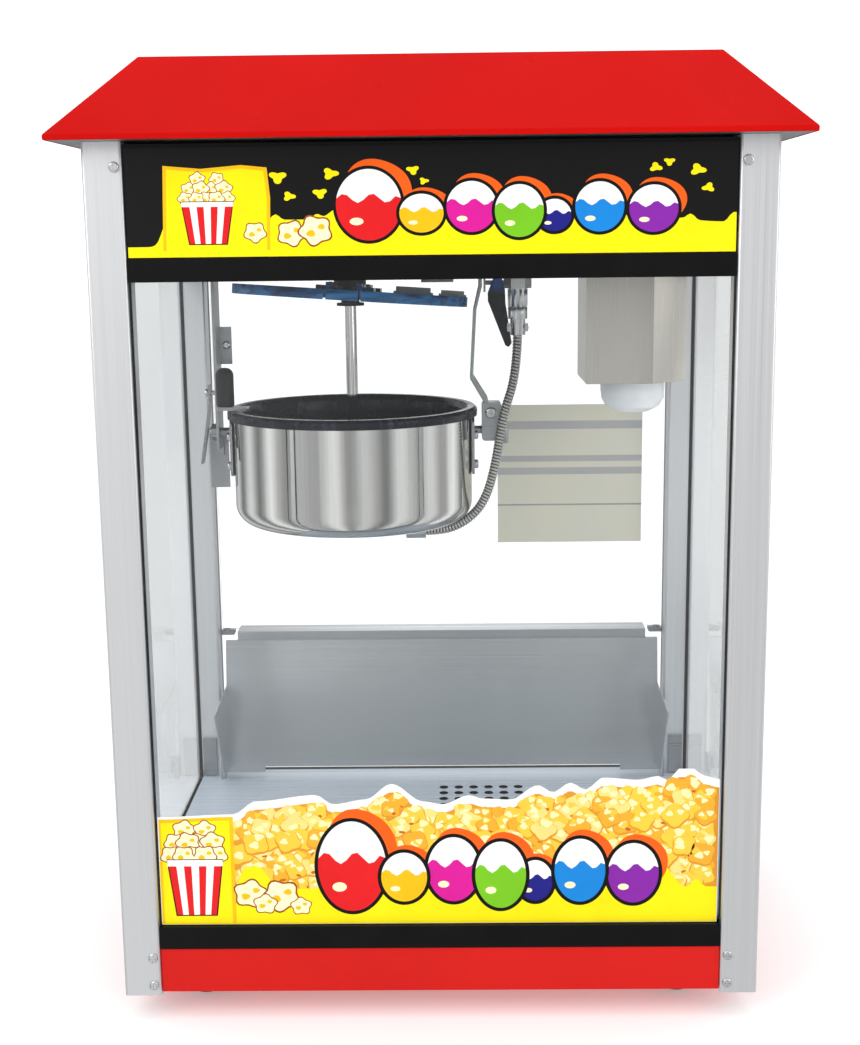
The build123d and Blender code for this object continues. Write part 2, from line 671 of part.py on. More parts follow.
def main():
    os.makedirs("parts", exist_ok=True)
    makers = [
        roof_cover, roof_frame, corner_posts, post_screws, rubber_feet, base_panels,
        glazing_rails, header_panels, header_graphic, ceiling_plate, front_glass,
        side_glasses, gaskets, glass_decal, floor_plate, stir_motor, shaft_bushing,
        drive_shaft, lamp_housing, lamp_socket, lamp_dome, hanger_left, hanger_right,
        pivot_block, hanger_bolts, side_latch, kettle_shell, kettle_pot, heating_element,
        kettle_ears, ear_bolts, handle_arm, handle_grip, cable_gland, stirrer, lid_clip,
        lid_bridge, lid_straps, lever_bracket, latch_lever, cable_socket, cable_plug,
        kettle_cable, door_hardware, door_left, door_left_fittings, door_label,
        serving_flap, flap_pivots, kernel_drawer, switch_panel, cord_gland,
    ]
    for maker in makers:
        save(maker(), maker.__name__)
    save(lid_flap(-1), "lid_flap_left")
    save(lid_flap(1), "lid_flap_right")
    save(mirror(door_left(), about=Plane.YZ), "door_right")
    save(mirror(door_left_fittings(), about=Plane.YZ), "door_right_fittings")
    for name, x in zip(("rocker_motor", "rocker_heat", "rocker_lamp"), SWITCH_XS):
        save(rocker(x), name)


main()
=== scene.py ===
import json
import math
import random

import bpy
from mathutils import Matrix, Vector

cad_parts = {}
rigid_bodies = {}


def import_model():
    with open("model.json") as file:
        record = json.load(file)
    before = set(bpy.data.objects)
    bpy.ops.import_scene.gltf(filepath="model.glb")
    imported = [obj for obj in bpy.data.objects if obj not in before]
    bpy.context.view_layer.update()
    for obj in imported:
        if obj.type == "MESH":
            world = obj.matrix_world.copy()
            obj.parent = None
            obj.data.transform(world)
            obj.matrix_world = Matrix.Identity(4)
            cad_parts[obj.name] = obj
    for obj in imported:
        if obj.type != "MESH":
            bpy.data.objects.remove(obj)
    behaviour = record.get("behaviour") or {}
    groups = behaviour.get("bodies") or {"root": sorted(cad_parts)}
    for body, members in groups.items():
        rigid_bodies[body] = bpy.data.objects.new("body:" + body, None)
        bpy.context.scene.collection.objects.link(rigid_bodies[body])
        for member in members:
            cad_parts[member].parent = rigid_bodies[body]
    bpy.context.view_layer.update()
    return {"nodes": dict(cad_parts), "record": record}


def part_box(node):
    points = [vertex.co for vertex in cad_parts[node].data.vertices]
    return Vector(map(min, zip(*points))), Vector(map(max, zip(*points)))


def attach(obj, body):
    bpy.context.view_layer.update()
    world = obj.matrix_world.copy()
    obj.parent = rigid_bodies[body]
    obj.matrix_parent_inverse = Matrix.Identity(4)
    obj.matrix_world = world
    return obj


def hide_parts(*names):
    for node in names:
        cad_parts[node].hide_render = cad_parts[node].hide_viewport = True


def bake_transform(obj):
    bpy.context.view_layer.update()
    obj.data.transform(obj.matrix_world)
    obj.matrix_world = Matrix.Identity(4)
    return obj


for leftover in list(bpy.data.objects):
    bpy.data.objects.remove(leftover)

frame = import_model()
NODES = frame["nodes"]
MM = 0.001
WHITE = (1.0, 1.0, 1.0, 1.0)


def srgb(red, green, blue):
    """A screen colour, 0 to 255, as the linear colour that shaders take."""
    linear = []
    for value in (red / 255, green / 255, blue / 255):
        linear.append(value / 12.92 if value <= 0.04045 else ((value + 0.055) / 1.055) ** 2.4)
    return (*linear, 1.0)


# ------------------------------------------------------------------ camera
CAMERA_PLACE = (0.0169, -1.3186, 0.6312)
CAMERA_YAW = math.radians(0.7016)
CAMERA_DOWN = math.radians(10.657)
CAMERA_ROLL = -0.01122
CAMERA_LENS = 51.55
CAMERA_SHIFT = (-0.0081, -0.0051)


def make_camera():
    data = bpy.data.cameras.new("photo_view")
    data.lens = CAMERA_LENS
    data.sensor_width = 36.0
    data.shift_x, data.shift_y = CAMERA_SHIFT
    camera = bpy.data.objects.new("photo_view", data)
    bpy.context.scene.collection.objects.link(camera)
    turn = Matrix.Rotation(CAMERA_YAW, 4, "Z")
    turn = turn @ Matrix.Rotation(math.pi / 2 - CAMERA_DOWN, 4, "X")
    turn = turn @ Matrix.Rotation(CAMERA_ROLL, 4, "Z")
    camera.matrix_world = Matrix.Translation(CAMERA_PLACE) @ turn
    bpy.context.scene.camera = camera


make_camera()


# ------------------------------------------------------------------ kettle cable
CABLE_DIAMETER = 0.0084
CABLE_ROUTE = [
    (0.0713, -0.0140, 0.5490),
    (0.0704, -0.0148, 0.5120),
    (0.0580, -0.0164, 0.4760),
    (0.0520, -0.0166, 0.4340),
    (0.0426, -0.0144, 0.4003),
    (0.0260, -0.0114, 0.3816),
    (0.0039, -0.0090, 0.3722),
    (-0.0180, -0.0080, 0.3728),
]
RIB_PITCH = 0.0028
RIB_DEPTH = 0.0009
RINGS_PER_RIB = 6
CABLE_SIDES = 22
GROOVE_WAVE = -0.45  # faces lower in the ribs' wave than this have the dark groove look


def smooth_line(points):
    """Points along a NURBS spline that has the given control points."""
    curve = bpy.data.curves.new("route", "CURVE")
    curve.dimensions = "3D"
    spline = curve.splines.new("NURBS")
    spline.points.add(len(points) - 1)
    for control, point in zip(spline.points, points):
        control.co = (*point, 1.0)
    spline.order_u = 3
    spline.use_endpoint_u = True
    spline.resolution_u = 24
    holder = bpy.data.objects.new("route", curve)
    mesh = bpy.data.meshes.new_from_object(holder)
    line = [v.co.copy() for v in mesh.vertices]
    bpy.data.objects.remove(holder)
    bpy.data.curves.remove(curve)
    bpy.data.meshes.remove(mesh)
    return line


def along(line, distance):
    """Point and direction at a distance along a line of points."""
    for a, b in zip(line, line[1:]):
        step = (b - a).length
        if distance <= step and step > 0:
            return a.lerp(b, distance / step), (b - a).normalized()
        distance -= step
    return line[-1].copy(), (line[-1] - line[-2]).normalized()


def add_object(name, verts, faces, looks, indices=None, smooth=False):
    mesh = bpy.data.meshes.new(name)
    mesh.from_pydata([tuple(v) for v in verts], [], faces)
    for look in looks:
        mesh.materials.append(look)
    for number, face in enumerate(mesh.polygons):
        face.use_smooth = smooth
        face.material_index = indices[number] if indices else 0
    mesh.update()
    made = bpy.data.objects.new(name, mesh)
    bpy.context.scene.collection.objects.link(made)
    return made


def kettle_cable(look, groove):
    """Armoured cable: a steel spiral's ribs along the smooth line of the route."""
    line = smooth_line(CABLE_ROUTE)
    total = sum((b - a).length for a, b in zip(line, line[1:]))
    rings = int(total / RIB_PITCH * RINGS_PER_RIB)
    verts, faces, indices = [], [], []
    across = Vector((0, 1, 0))
    for ring in range(rings + 1):
        centre, heading = along(line, total * ring / rings)
        across = (across - heading * across.dot(heading)).normalized()
        third = heading.cross(across)
        for side in range(CABLE_SIDES):
            turn = 2 * math.pi * side / CABLE_SIDES
            wave = math.cos(2 * math.pi * ring / RINGS_PER_RIB + turn)
            radius = CABLE_DIAMETER / 2 - RIB_DEPTH * (0.5 - 0.5 * wave) ** 2
            verts.append(centre + (across * math.cos(turn) + third * math.sin(turn)) * radius)
    for ring in range(rings):
        for side in range(CABLE_SIDES):
            a = ring * CABLE_SIDES + side
            b = ring * CABLE_SIDES + (side + 1) % CABLE_SIDES
            faces.append((a, a + CABLE_SIDES, b + CABLE_SIDES, b))
            turns = (ring + 0.5) / RINGS_PER_RIB + (side + 0.5) / CABLE_SIDES
            indices.append(1 if math.cos(2 * math.pi * turns) < GROOVE_WAVE else 0)
    faces.append(tuple(range(CABLE_SIDES)))
    faces.append(tuple(reversed(range(rings * CABLE_SIDES, (rings + 1) * CABLE_SIDES))))
    cable = add_object("armoured_cable", verts, faces, [look, groove], indices + [0, 0], smooth=True)
    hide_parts("kettle_cable")
    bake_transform(cable)


# ------------------------------------------------------------------ materials
class Look:
    """One node material: a Principled shader fed by textures whose unit is the metre."""

    def __init__(self, name, colour, roughness, metallic=0.0, **sockets):
        self.material = bpy.data.materials.new(name)
        self.material.use_nodes = True
        self.nodes = self.material.node_tree.nodes
        self.links = self.material.node_tree.links
        self.nodes.clear()
        self.output = self.nodes.new("ShaderNodeOutputMaterial")
        self.shader = self.nodes.new("ShaderNodeBsdfPrincipled")
        self.links.new(self.shader.outputs[0], self.output.inputs["Surface"])
        self.set("Base Color", colour)
        self.set("Roughness", roughness)
        self.set("Metallic", metallic)
        for socket, value in sockets.items():
            self.set(socket.replace("_", " "), value)

    def set(self, socket, value):
        if isinstance(value, bpy.types.NodeSocket):
            self.links.new(value, self.shader.inputs[socket])
        else:
            self.shader.inputs[socket].default_value = value

    def node(self, kind, inputs, **settings):
        made = self.nodes.new(kind)
        for key, value in settings.items():
            setattr(made, key, value)
        for socket, value in inputs.items():
            if isinstance(value, bpy.types.NodeSocket):
                self.links.new(value, made.inputs[socket])
            else:
                made.inputs[socket].default_value = value
        return made

    def place(self, stretch=(1, 1, 1)):
        point = self.node("ShaderNodeTexCoord", {}).outputs["Object"]
        return self.node("ShaderNodeMapping", {"Vector": point, "Scale": stretch}).outputs[0]

    def noise(self, scale, stretch=(1, 1, 1), detail=3.0, distortion=0.0):
        inputs = {"Vector": self.place(stretch), "Scale": scale, "Detail": detail}
        inputs["Distortion"] = distortion
        return self.node("ShaderNodeTexNoise", inputs).outputs[0]

    def span(self, value, low, high, start=0.3, end=0.7):
        inputs = {"Value": value, "From Min": start, "From Max": end, "To Min": low, "To Max": high}
        return self.node("ShaderNodeMapRange", inputs).outputs[0]

    def mix(self, value, first, second):
        return self.node("ShaderNodeMix", {0: value, 6: first, 7: second}, data_type="RGBA").outputs[2]

    def sum(self, first, second, operation="ADD"):
        return self.node("ShaderNodeMath", {0: first, 1: second}, operation=operation).outputs[0]

    def ramp(self, value, stops, interpolation="LINEAR"):
        made = self.node("ShaderNodeValToRGB", {0: value})
        made.color_ramp.interpolation = interpolation
        elements = made.color_ramp.elements
        elements[0].position, elements[0].color = stops[0]
        elements[1].position, elements[1].color = stops[-1]
        for position, colour in stops[1:-1]:
            elements.new(position).color = colour
        return made.outputs[0]

    def bump(self, height, distance, strength=1.0):
        inputs = {"Height": height, "Distance": distance, "Strength": strength}
        self.set("Normal", self.node("ShaderNodeBump", inputs).outputs[0])


def shaded(colour, factor):
    return (colour[0] * factor, colour[1] * factor, colour[2] * factor, 1.0)


def enamel(name, colour):
    """Gloss stove enamel on sheet steel: slight orange peel and uneven gloss."""
    look = Look(name, colour, 0.3, Specular_IOR_Level=0.03)
    share = look.span(look.noise(7), 0, 1)
    look.set("Base Color", look.mix(share, shaded(colour, 0.93), shaded(colour, 1.04)))
    look.set("Roughness", look.span(look.noise(18, detail=5), 0.26, 0.4))
    look.bump(look.noise(260, detail=2), 0.00005)
    return look.material


def brushed(name, colour, grain, low, high, contrast=0.1, metallic=1.0, painted_shade_below=None):
    """Metal with fine lines along one axis; grain is that axis's letter.

    Below a given level it is painted nearly black: painted shade on the walls of the sieve holes.
    """
    fine = {"X": (2.5, 900, 900), "Y": (900, 2.5, 900), "Z": (900, 900, 2.5)}[grain]
    broad = {"X": (0.6, 26, 26), "Y": (26, 0.6, 26), "Z": (26, 26, 0.6)}[grain]
    look = Look(name, colour, low, metallic=metallic)
    lines = look.noise(1.0, fine, detail=4)
    drift = look.noise(1.0, broad, detail=2)
    blend = look.sum(look.sum(lines, 0.6, "MULTIPLY"), look.sum(drift, 0.4, "MULTIPLY"))
    share = look.span(blend, 0, 1)
    steel = look.mix(share, shaded(colour, 1 - contrast), shaded(colour, 1 + contrast * 0.6))
    # Painted shade: below the given level, on the hole walls, the colour goes nearly black.
    if painted_shade_below:
        level = look.node("ShaderNodeSeparateXYZ", {"Vector": look.place()}).outputs["Z"]
        share = look.span(level, 0.0, 1.0, painted_shade_below - 0.0001, painted_shade_below)
        steel = look.mix(share, srgb(20, 22, 26), steel)
    look.set("Base Color", steel)
    look.set("Roughness", look.span(lines, low, high))
    return look.material


def polished(name, colour, low, high, ripple):
    """Mirror-polished sheet steel, drawn slightly wavy, with faint rub marks."""
    look = Look(name, colour, low, metallic=1.0)
    waves = look.noise(1.0, (30, 30, 1.5), detail=2)
    rubs = look.noise(1.0, (420, 420, 9), detail=4)
    look.set("Base Color", look.mix(look.span(rubs, 0, 1), shaded(colour, 0.96), shaded(colour, 1.03)))
    look.set("Roughness", look.span(rubs, low, high))
    height = look.sum(look.sum(waves, ripple, "MULTIPLY"), look.sum(rubs, 0.00001, "MULTIPLY"))
    look.bump(height, 1.0)
    return look.material


def plastic(name, colour, low, high, grain=900, depth=0.00003, gloss=0.5):
    look = Look(name, colour, low, Specular_IOR_Level=gloss)
    share = look.span(look.noise(40), 0, 1)
    look.set("Base Color", look.mix(share, shaded(colour, 0.82), shaded(colour, 1.15)))
    look.set("Roughness", look.span(look.noise(55, detail=5), low, high))
    look.bump(look.noise(grain, detail=2), depth)
    return look.material


PANE_IOR = 1.42


def clear(name, tint, faint):
    """Clear pane that lets lamps and soft light through, with a trace of wiped smears."""
    look = Look(name, tint, 0.0, Transmission_Weight=1.0, IOR=PANE_IOR)
    smears = look.span(look.noise(1.0, (9, 9, 3), detail=4, distortion=1.0), 0, 1)
    look.set("Base Color", look.mix(smears, tint, faint))
    path = look.node("ShaderNodeLightPath", {})
    lit = look.sum(path.outputs["Is Shadow Ray"], path.outputs["Is Diffuse Ray"], "MAXIMUM")
    through = look.node("ShaderNodeBsdfTransparent", {"Color": tint})
    both = look.node("ShaderNodeMixShader", {0: lit, 1: look.shader.outputs[0], 2: through.outputs[0]})
    look.links.new(both.outputs[0], look.output.inputs["Surface"])
    return look.material


def frosted_lamp():
    look = Look("frosted_lamp_glass", srgb(226, 229, 231), 0.3, Subsurface_Weight=0.3, Coat_Weight=0.4)
    look.shader.inputs["Subsurface Radius"].default_value = (0.01, 0.01, 0.01)
    look.set("Base Color", look.mix(look.noise(30), srgb(214, 218, 221), srgb(236, 238, 239)))
    look.bump(look.noise(1500, detail=1), 0.00002)
    return look.material


def nonstick():
    """Dark coating with a satin sheen, rubbed lighter here and there by the stirrer."""
    look = Look("nonstick_coating", srgb(16, 22, 32), 0.25, metallic=0.35, Specular_IOR_Level=0.3)
    rubs = look.span(look.noise(1.0, (60, 60, 24), detail=5, distortion=1.5), 0, 1, 0.55, 0.8)
    look.set("Base Color", look.mix(rubs, srgb(14, 20, 31), srgb(60, 70, 84)))
    look.set("Roughness", look.span(look.noise(90, detail=5), 0.16, 0.3))
    return look.material


def blue_film():
    """Thin blue protective film that is still on the lid's steel, slightly wrinkled, with painted sheen and
    shade along the wrinkles.
    """
    look = Look("blue_film", srgb(14, 62, 104), 0.22, metallic=0.15, Specular_IOR_Level=0.4)
    folds = look.noise(1.0, (14, 60, 130), detail=3, distortion=0.8)
    # Painted sheen and shade: the colour goes from dark to light blue with the wrinkles' noise.
    look.set("Base Color", look.mix(look.span(folds, 0, 1), srgb(6, 44, 84), srgb(20, 116, 176)))
    look.set("Roughness", look.span(folds, 0.2, 0.36))
    look.bump(folds, 0.0003, 0.4)
    return look.material


def lever_grip():
    """Black moulded grip whose tip is still wrapped in blue film."""
    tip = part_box("latch_lever")[1].z
    look = Look("lever_plastic", srgb(17, 18, 20), 0.35, Specular_IOR_Level=0.3)
    level = look.node("ShaderNodeSeparateXYZ", {"Vector": look.place()}).outputs["Z"]
    share = look.span(level, 0.0, 1.0, tip - 0.016, tip - 0.008)
    grey = look.mix(look.span(look.noise(40), 0, 1), srgb(14, 15, 17), srgb(34, 36, 40))
    look.set("Base Color", look.mix(share, grey, srgb(24, 70, 140)))
    look.set("Roughness", look.span(look.noise(90), 0.3, 0.45))
    return look.material


def data_label():
    """Cream instruction panel with plain tinted bands and no lettering."""
    low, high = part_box("door_label")
    look = Look("cream_label", srgb(196, 197, 184), 0.5)
    level = look.node("ShaderNodeSeparateXYZ", {"Vector": look.place()}).outputs["Z"]
    share = look.span(level, 0.0, 1.0, low.z, high.z)
    cream, band, line = srgb(222, 219, 205), srgb(178, 178, 182), srgb(156, 157, 158)
    stops = [(0.0, cream), (0.268, line), (0.28, cream), (0.496, band), (0.546, cream)]
    stops += [(0.588, band), (0.631, cream), (0.823, band), (0.879, cream), (1.0, cream)]
    bands = look.ramp(share, stops, "CONSTANT")
    look.set("Base Color", look.mix(look.span(look.noise(22), 0.0, 0.15), bands, srgb(236, 228, 180)))
    look.bump(look.noise(700, detail=2), 0.00002)
    return look.material


def ink(name, colour, roughness=0.32):
    """Printed ink under a clear laminate."""
    look = Look(name, colour, roughness, Coat_Weight=0.05, Coat_Roughness=0.1, Specular_IOR_Level=0.12)
    share = look.span(look.noise(26), 0, 1)
    look.set("Base Color", look.mix(share, shaded(colour, 0.95), shaded(colour, 1.03)))
    look.bump(look.noise(500, detail=1), 0.00001)
    return look.material


def make_looks():
    """The record's material slots, each with its look."""
    return {
        "roof_red": enamel("roof_enamel", srgb(194, 14, 11)),
        "base_red": enamel("base_enamel", srgb(206, 36, 32)),
        "black_panel": plastic("black_sheet", srgb(14, 14, 15), 0.3, 0.45, 260, gloss=0.12),
        "black_trim": plastic("black_rail", srgb(14, 14, 15), 0.3, 0.42, 260, gloss=0.12),
        "zinc": brushed("zinc_sheet", srgb(190, 192, 194), "X", 0.4, 0.55),
        "post": brushed("post_aluminium", srgb(238, 239, 241), "Z", 0.34, 0.5, 0.07),
        "steel": brushed("brushed_steel", srgb(176, 178, 180), "X", 0.26, 0.42, 0.14),
        "polished": polished("polished_steel", srgb(220, 219, 216), 0.03, 0.09, 0.0006),
        "screw": polished("bright_zinc", srgb(214, 215, 216), 0.16, 0.3, 0.0),
        "glass": clear("tempered_glass", srgb(253, 254, 254), srgb(249, 251, 252)),
        "acrylic": clear("clear_acrylic", srgb(254, 255, 255), srgb(251, 253, 253)),
        "lamp_glass": frosted_lamp(),
        "print": ink("ink_plain", srgb(250, 226, 20)),
        "label": data_label(),
        "gasket": plastic("black_rubber_channel", srgb(30, 30, 32), 0.55, 0.75, 500),
        "foot": plastic("foot_rubber", srgb(24, 24, 24), 0.6, 0.8, 500),
        # The floor plate's hole walls get painted shade, nearly black below its top face.
        "floor": brushed("floor_steel", srgb(214, 224, 236), "X", 0.24, 0.34, 0.03, 0.15,
                         painted_shade_below=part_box("floor_plate")[1].z - 0.0001),
        "motor": enamel("motor_grey", srgb(110, 112, 116)),
        "ceramic": plastic("glazed_ceramic", srgb(226, 224, 218), 0.15, 0.25, 300),
        "nonstick": nonstick(),
        "plastic_black": plastic("black_plastic", srgb(17, 18, 20), 0.28, 0.42, gloss=0.3),
        "film_blue": blue_film(),
        "brass": brushed("turned_brass", srgb(206, 170, 100), "Z", 0.25, 0.4),
        "rocker": plastic("red_rocker", srgb(176, 22, 20), 0.25, 0.35),
    }


LOOKS = make_looks()
NODE_LOOKS = {
    "latch_lever": lever_grip(),
    "serving_flap": brushed("flap_steel", srgb(206, 209, 212), "X", 0.14, 0.22, 0.04, 0.75),
    "lamp_housing": brushed("lamp_shade_steel", srgb(222, 217, 208), "Z", 0.26, 0.32, 0.03),
    "hanger_left": brushed("hanger_steel", srgb(186, 188, 190), "Z", 0.28, 0.42, 0.08),
}
for subpart in frame["record"]["subparts"]:
    name = subpart["node"]
    mesh = NODES[name].data
    mesh.materials.clear()
    mesh.materials.append(NODE_LOOKS.get(name, LOOKS[subpart["material_slot"]]))


# ------------------------------------------------------------------ softened edges
SOFT_EDGES = {
    "roof_cover": 0.9, "corner_posts": 0.5, "base_panels": 0.5, "glazing_rails": 0.7,
    "header_panels": 0.4, "serving_flap": 0.4, "lamp_housing": 0.5, "hanger_left": 0.5,
    "hanger_right": 0.6, "pivot_block": 0.5, "kettle_ears": 0.4, "kettle_pot": 0.5,
    "handle_arm": 0.5, "lever_bracket": 0.4, "door_hardware": 0.4, "flap_pivots": 0.4,
    "kernel_drawer": 0.4, "switch_panel": 0.5, "cable_plug": 0.4, "hanger_bolts": 0.3,
    "lid_flap_left": 0.4, "lid_flap_right": 0.4, "lid_bridge": 0.3, "lid_straps": 0.3,
    "stirrer": 0.4, "side_latch": 0.3,
}


def soften(node, width):
    """Small rounded edges as modifiers, which leave the CAD mesh as it is."""
    weld = node.modifiers.new("weld", "WELD")
    weld.merge_threshold = 0.00001
    bevel = node.modifiers.new("edges", "BEVEL")
    bevel.width = width
    bevel.segments = 2
    bevel.limit_method = "ANGLE"
    bevel.angle_limit = math.radians(40)
    bevel.harden_normals = True


for name, width in SOFT_EDGES.items():
    soften(NODES[name], width * MM)

kettle_cable(
    polished("cable_armour", srgb(206, 204, 198), 0.24, 0.4, 0.0),
    plastic("cable_groove", srgb(70, 68, 64), 0.5, 0.7, 500),
)


# ------------------------------------------------------------------ printed artwork
INKS = {
    "paper": ink("ink_paper", srgb(246, 246, 242)),
    "black": ink("ink_black", srgb(20, 20, 20)),
    "yellow": ink("ink_yellow", srgb(253, 230, 12)),
    "amber": ink("ink_amber", srgb(250, 190, 20)),
    "orange": ink("ink_orange", srgb(240, 96, 24)),
    "red": ink("ink_red", srgb(222, 30, 34)),
    "magenta": ink("ink_magenta", srgb(214, 28, 150)),
    "green": ink("ink_green", srgb(120, 196, 36)),
    "navy": ink("ink_navy", srgb(34, 34, 130)),
    "blue": ink("ink_blue", srgb(24, 132, 214)),
    "purple": ink("ink_purple", srgb(134, 40, 164)),
    "cream": ink("ink_cream", srgb(255, 240, 196)),
    "brown": ink("ink_brown", srgb(150, 84, 20)),
    "corn_shade": ink("ink_corn_shade", srgb(222, 150, 44)),
    "corn_dark": ink("ink_corn_dark", srgb(196, 104, 30)),
    "corn_warm": ink("ink_corn_warm", srgb(240, 172, 50)),
    "corn_gold": ink("ink_corn_gold", srgb(248, 200, 66)),
    "corn_pale": ink("ink_corn_pale", srgb(248, 218, 128)),
    "corn_light": ink("ink_corn_light", srgb(253, 236, 176)),
}
INK_NAMES = list(INKS)


class Print:
    """Flat shapes in X-Z, in millimetres, stacked towards the front in one thin sheet."""

    TOP = 14

    def __init__(self, node):
        low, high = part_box(node)
        self.node = node
        self.back, self.front = high.y, low.y
        self.verts, self.faces, self.indices = [], [], []

    def depth(self, level):
        return self.back + (self.front - self.back) * (0.52 + 0.48 * level / self.TOP)

    def shape(self, points, level, name):
        """One closed prism; its outline goes round once, and level 0 is the backing."""
        back = self.back if level == 0 else self.depth(max(0.0, level - 2.6))
        first, count = len(self.verts), len(points)
        for y in (self.depth(level), back):
            self.verts += [(x * MM, y, z * MM) for x, z in points]
        sides = [(i, (i + 1) % count) for i in range(count)]
        front = [first + i for i in range(count)]
        area = sum(points[i][0] * points[j][1] - points[j][0] * points[i][1] for i, j in sides)
        new = [tuple(front), tuple(count + i for i in reversed(front))]
        new += [(first + i, first + i + count, first + j + count, first + j) for i, j in sides]
        if area < 0:
            new = [tuple(reversed(face)) for face in new]
        self.faces += new
        self.indices += [INK_NAMES.index(name)] * len(new)

    def finish(self, name):
        made = add_object(name, self.verts, self.faces, list(INKS.values()), self.indices)
        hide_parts(self.node)
        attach(made, "cabinet")


def oval(x, z, wide, high, lumps=0, rough=0.0, turn=0.0, steps=56):
    points = []
    for step in range(steps):
        angle = 2 * math.pi * step / steps
        reach = 1 + rough * math.sin(lumps * angle + turn)
        points.append((x + wide / 2 * reach * math.cos(angle), z + high / 2 * reach * math.sin(angle)))
    return points


def box_outline(x0, x1, z0, z1):
    return [(x0, z0), (x1, z0), (x1, z1), (x0, z1)]


def under(left, right, bottom, top_of, steps):
    """Area between a level bottom and a curve."""
    points = [(left, bottom), (right, bottom)]
    for step in range(steps + 1):
        x = right + (left - right) * step / steps
        points.append((x, top_of(x)))
    return points


# A row of plain balls: place along the row, foot above the row's line, width, height, ink
BALLS = [
    (-70, -6, 58, 80, "red"),
    (-28, 2, 40, 45, "yellow"),
    (12, 2, 45, 58, "magenta"),
    (50, -4, 44, 60, "green"),
    (78, 2, 31, 38, "navy"),
    (114, 1, 44, 57, "blue"),
    (157, 0, 44, 54, "purple"),
]


def ball(art, x, z, wide, high, name, edge, base):
    """A two-tone ball: dark outline, coloured foot, white top and a small shine."""
    art.shape(oval(x, z, wide + edge, high + edge), base, "black")
    art.shape(oval(x, z, wide - edge, high - edge), base + 0.4, "amber" if name == "yellow" else name)
    cap = []
    steps = 28
    reach_x, reach_z = (wide - edge) / 2, (high - edge) / 2
    for step in range(steps + 1):
        angle = math.pi * (0.06 + 0.88 * step / steps)
        cap.append((x + reach_x * math.cos(angle), z + reach_z * math.sin(angle)))
    for step in range(1, 12):
        t = step / 12
        cap.append((cap[steps][0] + (cap[0][0] - cap[steps][0]) * t,
                    cap[steps][1] + reach_z * 0.13 * math.sin(4.5 * math.pi * t)))
    art.shape(cap, base + 0.8, "paper")
    art.shape(oval(x - wide * 0.18, z - high * 0.22, wide * 0.2, high * 0.1), base + 0.8, "cream")


def ball_row(art, centre, line, across, wide, high, edge):
    """The balls over one another, each with its own levels, in front of their glow."""
    row = []
    for x, foot, width, height, name in BALLS:
        tall = height * high
        row.append((centre + x * across, line + foot * high + tall / 2, width * wide, tall, name))
    for order, (x, z, wide_one, tall, name) in enumerate(row):
        glow_x, glow_z = x + wide_one * 0.12, z + tall * 0.15
        step = 0.4 * (order % 2)
        art.shape(oval(glow_x, glow_z, wide_one * 0.98, tall * 0.94, 3, 0.05, 1.0), 8.2 + step, "orange")
    for order, (x, z, wide_one, tall, name) in enumerate(row):
        ball(art, x, z, wide_one, tall, name, edge, 9.2 + 1.4 * (order % 2))


def puff(art, x, z, size, level):
    """A popped kernel: lobed cream outline with golden hollows."""
    turn = x * 0.7 + z
    art.shape(oval(x, z, size * 1.12, size, 5, 0.12, turn, 30), level, "brown")
    art.shape(oval(x, z, size, size * 0.88, 5, 0.13, turn, 30), level + 0.15, "cream")
    for side, up, share in ((-0.16, -0.1, 0.3), (0.2, 0.12, 0.24)):
        spot = oval(x + size * side, z + size * up, size * share, size * share * 0.75, 3, 0.1, turn, 16)
        art.shape(spot, level + 0.3, "amber")


def tub(art, x, foot, wide, high, edge):
    """A striped tub of popcorn; it narrows towards its foot."""
    random.seed(7)
    top = foot + high * 0.56
    half_top, half_foot = wide / 2, wide * 0.36
    for row, count in ((0, 5), (1, 4), (2, 2)):
        for spot in range(count):
            along_row = (spot + 0.5) / count - 0.5
            px = x + along_row * wide * (1.04 - 0.16 * row) + random.uniform(-1, 1)
            level = 9.0 + 0.9 * (2 - row) + 0.45 * (spot % 2)
            puff(art, px, top + high * (0.05 + 0.13 * row), high * 0.2 + random.uniform(-1, 1), level)
    rim = [(x - half_foot - edge, foot - edge), (x + half_foot + edge, foot - edge)]
    rim += [(x + half_top + edge, top + edge), (x - half_top - edge, top + edge)]
    art.shape(rim, 12.4, "black")
    stripes = 7
    for stripe in range(stripes):
        left, right = stripe / stripes * 2 - 1, (stripe + 1) / stripes * 2 - 1
        panel = [(x + half_foot * left, foot), (x + half_foot * right, foot)]
        panel += [(x + half_top * right, top), (x + half_top * left, top)]
        art.shape(panel, 13, "paper" if stripe % 2 else "red")
    reach = half_top + edge * 0.4
    band = box_outline(x - reach, x + reach, top - high * 0.06, top + edge * 0.3)
    art.shape(band, 14, "paper")


CORN_SIZE = 19.0
CORN_GAP = (13.0, 10.0)
CORN_INKS = ("corn_gold", "corn_pale", "corn_gold", "corn_warm")


def kernel(art, x, z, size, level):
    """One popped kernel of the heap: shaded rim, body, and paler and darker lobes."""
    turn = random.uniform(0, 6.28)
    art.shape(oval(x, z - size * 0.05, size * 1.1, size, 4, 0.1, turn, 20), level, "corn_shade")
    art.shape(oval(x, z, size, size * 0.9, 4, 0.14, turn, 20), level + 0.12, random.choice(CORN_INKS))
    for order, name in enumerate(("corn_light", "corn_gold", "corn_light")):
        spin = random.uniform(0, 6.28)
        lobe_x, lobe_z = x + size * 0.22 * math.cos(spin), z + size * (0.1 + 0.2 * math.sin(spin))
        share = random.uniform(0.24, 0.42)
        art.shape(oval(lobe_x, lobe_z, size * share, size * share * 0.8, 3, 0.2, spin, 14),
                  level + 0.2 + 0.08 * order, name)
    if random.random() < 0.4:
        art.shape(oval(x + size * 0.15, z - size * 0.28, size * 0.26, size * 0.14, 2, 0.2, turn, 12),
                  level + 0.44, "corn_dark")


